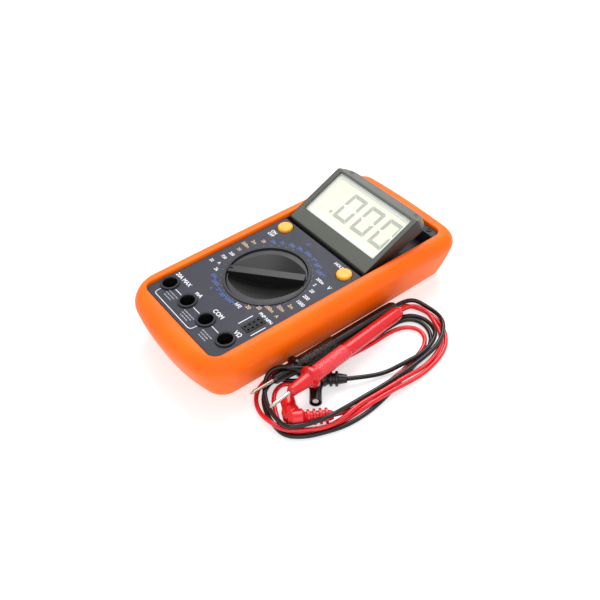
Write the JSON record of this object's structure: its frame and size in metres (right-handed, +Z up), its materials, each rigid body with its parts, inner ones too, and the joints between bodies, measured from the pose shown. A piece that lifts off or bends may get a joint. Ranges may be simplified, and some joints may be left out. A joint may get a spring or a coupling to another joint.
{
  "type": "digital multimeter",
  "caption": "Hand-held digital multimeter with flip-up display, rotary selector and input jacks in a rubber boot, with coiled red and black test leads.",
  "frame": {"origin": "middle of the boot's footprint, on the surface the meter lies on", "axes": "+X across the panel in reading direction, +Y from the input jacks to the display, +Z up out of the panel"},
  "size_m": [0.1405, 0.181, 0.048],
  "materials": {
    "orange_rubber": "satin",
    "case_plastic": "matte",
    "printed_film": "satin",
    "battery_jacket": "satin",
    "nickel": "satin",
    "black_plastic": "matte",
    "wire_red": "gloss",
    "board_green": "satin",
    "brass": "satin",
    "clear_glass": "gloss",
    "resistance_wire": "satin",
    "epoxy_black": "gloss",
    "trimmer_blue": "matte",
    "capacitor_sleeve": "gloss",
    "steel": "satin",
    "ribbon_film": "satin",
    "bezel_plastic": "satin",
    "clear_lens": "gloss",
    "lcd_white": "matte",
    "lcd_panel": "gloss",
    "zebra_rubber": "matte",
    "knob_plastic": "satin",
    "button_yellow": "satin",
    "lead_black": "gloss",
    "lead_red": "gloss"
  },
  "bodies": {
    "meter_case": {"boot": "orange_rubber", "front_case": "case_plastic", "panel_label": "printed_film", "rear_case": "case_plastic", "battery_cover": "case_plastic", "battery": "battery_jacket", "battery_terminals": "nickel", "battery_snap": "black_plastic", "battery_leads": "wire_red", "main_board": "board_green", "jack_contacts": "brass", "jack_insulators": "black_plastic", "transistor_socket": "black_plastic", "socket_pins": "brass", "fuse_clips": "nickel", "fuse_glass": "clear_glass", "fuse_caps": "nickel", "current_shunt": "resistance_wire", "buzzer": "brass", "chip_cover": "epoxy_black", "trim_pots": "trimmer_blue", "capacitors": "capacitor_sleeve", "power_switch": "black_plastic", "hold_switch": "black_plastic", "case_screws": "steel", "board_screws": "steel", "display_ribbon": "ribbon_film"},
    "display_head": {"display_bezel": "bezel_plastic", "display_back_cover": "bezel_plastic", "display_lens": "clear_lens", "lcd_frame": "lcd_white", "lcd_glass": "lcd_panel", "lcd_board": "board_green", "zebra_strips": "zebra_rubber", "display_screws": "steel", "hinge_pins": "steel"},
    "selector": {"selector_knob": "knob_plastic", "knob_clip": "steel", "contact_carrier": "black_plastic", "wiper_contacts": "brass", "detent_balls": "steel", "detent_springs": "steel"},
    "power_button_cap": {"power_button": "button_yellow"},
    "hold_button_cap": {"hold_button": "button_yellow"},
    "stand": {"tilt_stand": "case_plastic", "stand_pin": "steel"},
    "test_leads": {"black_probe_handle": "lead_black", "black_probe_pin": "nickel", "black_plug": "lead_black", "black_plug_pin": "nickel", "black_lead_cord": "lead_black", "red_probe_handle": "lead_red", "red_probe_pin": "nickel", "red_plug": "lead_red", "red_plug_pin": "nickel", "red_lead_cord": "lead_red", "lead_coil": "lead_red"}
  },
  "joints": [
    {"name": "display_tilt", "type": "hinge", "parent": "meter_case", "child": "display_head", "pos_m": [0, 0.0265, 0.0264], "axis": [1, 0, 0], "range_deg": [-24, 6]},
    {"name": "selector_turn", "type": "hinge", "parent": "meter_case", "child": "selector", "pos_m": [0, -0.0188, 0.025], "axis": [0, 0, 1], "continuous": true},
    {"name": "power_button_press", "type": "slide", "parent": "meter_case", "child": "power_button_cap", "axis": [0, 0, -1], "range_m": [0, 0.002], "stiffness_N_per_m": 600, "springref_m": -0.002},
    {"name": "hold_button_press", "type": "slide", "parent": "meter_case", "child": "hold_button_cap", "axis": [0, 0, -1], "range_m": [0, 0.002], "stiffness_N_per_m": 600, "springref_m": -0.002},
    {"name": "stand_swing", "type": "hinge", "parent": "meter_case", "child": "stand", "pos_m": [0, 0.018, 0.0031], "axis": [1, 0, 0], "range_deg": [0, 65]},
    {"name": "test_leads_lift", "type": "slide", "parent": "meter_case", "child": "test_leads", "axis": [0.6, 0, 0.8], "range_m": [0, 0.07]}
  ]
}
